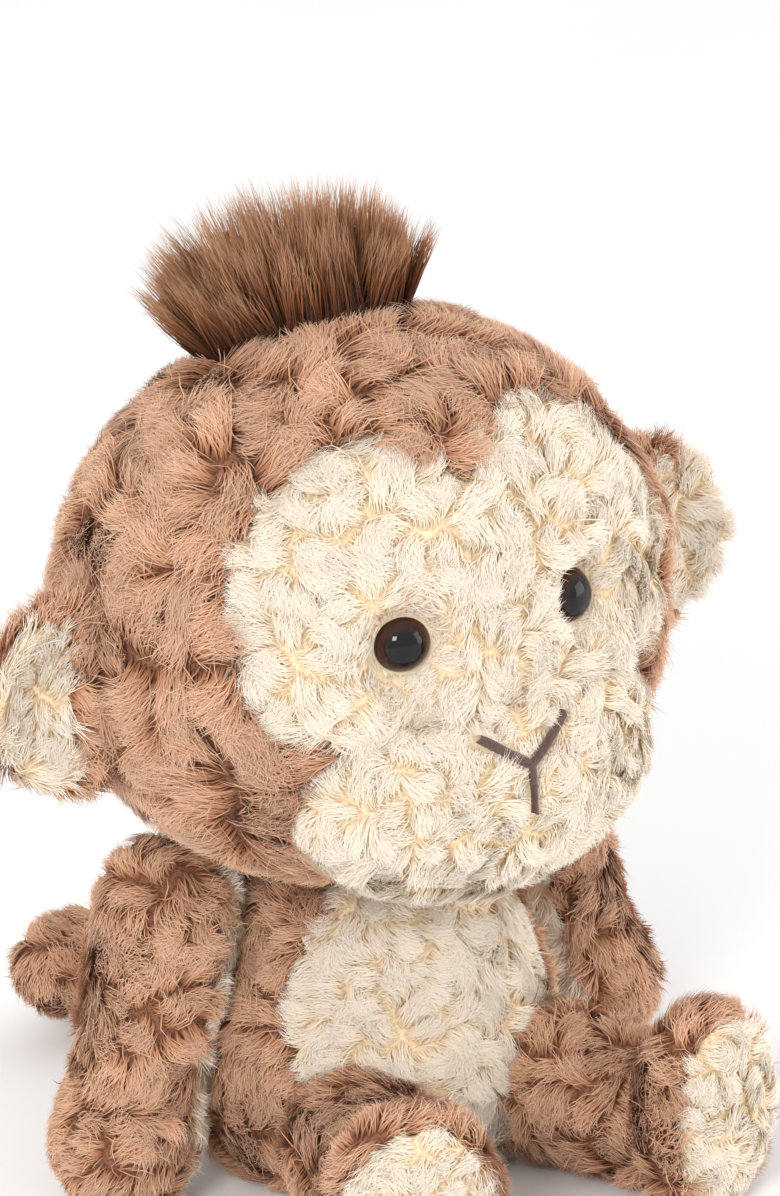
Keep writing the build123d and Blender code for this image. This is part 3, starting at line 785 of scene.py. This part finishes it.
for s, _ in SIDES:
    eye = lathe(f"eye_{s}_dome", EYE_PROFILE, EYE_RADIUS, EYE_GLASS)
    gaze = Vector(GAZE[s]).to_track_quat("Z", "Y").to_matrix().to_4x4()
    eye.matrix_world = Matrix.Translation(EYE[s]) @ gaze
    body_part("head", eye, f"eye_{s}", slot="eye_plastic")

# ------------------------------------------------------------------ mouth
THREADS_PER_MM = 2.1
SATIN_HALF = 0.95 * MM
SATIN_LOW, SATIN_CREST = 1.3 * MM, 1.3 * MM     # height of a bar's edges, and its crest above them
SATIN_SLANT = 0.35
STRAND = 0.3 * MM
ARCH = 6
SIDES_OF_STRAND = 6
skin_tree = BVHTree.FromObject(muzzle, bpy.context.evaluated_depsgraph_get())


def on_muzzle(x, z):
    at, normal, _, _ = skin_tree.ray_cast(Vector((x, -1.0, z)), Vector((0, 1, 0)))
    return np.array(at), np.array(normal)


verts, faces = [], []
for start, end in MOUTH_BARS:
    run = end - start
    length = np.linalg.norm(run)
    count = int(length / MM * THREADS_PER_MM)
    slant = np.array([-run[1], run[0]]) / length + SATIN_SLANT * run / length
    for i in range(count):
        centre = start + run * (i + 0.5) / count
        loop = []
        for k in range(ARCH + 1):
            across = 2 * k / ARCH - 1
            x, z = centre + slant * across * SATIN_HALF
            at, normal = on_muzzle(x, z)
            loop.append(at + normal * (SATIN_LOW + SATIN_CREST * (1 - across ** 2) ** 0.5))
        loop = np.array(loop)
        tangent = unit(np.gradient(loop, axis=0))
        side = unit(np.cross(tangent, normal))
        over = np.cross(side, tangent)
        base = len(verts)
        for k in range(ARCH + 1):
            for j in range(SIDES_OF_STRAND):
                turn = 2 * math.pi * j / SIDES_OF_STRAND
                verts.append(loop[k] + STRAND * (side[k] * math.cos(turn) + over[k] * math.sin(turn)))
        for k in range(ARCH):
            for j in range(SIDES_OF_STRAND):
                faces.append(tuple(base + corner for corner in ring_band(k, j, SIDES_OF_STRAND)))
        faces.append(tuple(base + j for j in reversed(range(SIDES_OF_STRAND))))
        faces.append(tuple(base + ARCH * SIDES_OF_STRAND + j for j in range(SIDES_OF_STRAND)))
satin = new_piece("mouth_stitches", verts, faces, THREAD)
body_part("head", satin, "mouth_thread", slot="brown_thread")

# ------------------------------------------------------------------ what is inside
# A word in a node's name and its material; where two words fit, the later one holds.
INSIDE = (("fill", FIBRE), ("wad", FIBRE), ("bead_pouch", POUCH_CLOTH), ("bead_fill", BEADS),
          ("care_label", TAPE), ("closing_seam", THREAD), ("washer", WASHER))
for node, solid in nodes.items():
    for part, material in INSIDE:
        if part in node:
            solid.data.materials.clear()
            solid.data.materials.append(material)

# ------------------------------------------------------------------ studio
FLOOR_REACH = 3.0
floor_paint = mottled_material("floor_paint", (246, 246, 246), (250, 250, 250), scale=3.0, roughness=0.9)
floor_corners = [(x * FLOOR_REACH, y * FLOOR_REACH, 0) for x, y in ((-1, -1), (1, -1), (1, 1), (-1, 1))]
floor = new_piece("floor", floor_corners, [(0, 1, 2, 3)], floor_paint)
world = bpy.data.worlds.new("studio")
bpy.context.scene.world = world
world.use_nodes = True
world.node_tree.nodes["Background"].inputs["Color"].default_value = (1.0, 1.0, 1.0, 1.0)
world.node_tree.nodes["Background"].inputs["Strength"].default_value = 1.0


def area_light(name, at, size, power):
    data = bpy.data.lights.new(name, "AREA")
    data.size = size
    data.energy = power
    light = bpy.data.objects.new(name, data)
    light.location = at
    light.rotation_euler = (Vector(HEAD) - Vector(at)).to_track_quat("-Z", "Y").to_euler()
    bpy.context.scene.collection.objects.link(light)


area_light("key", (-0.85, -0.75, 0.75), 0.35, 6.5)
area_light("fill", (0.9, -0.8, 0.4), 0.8, 4.5)
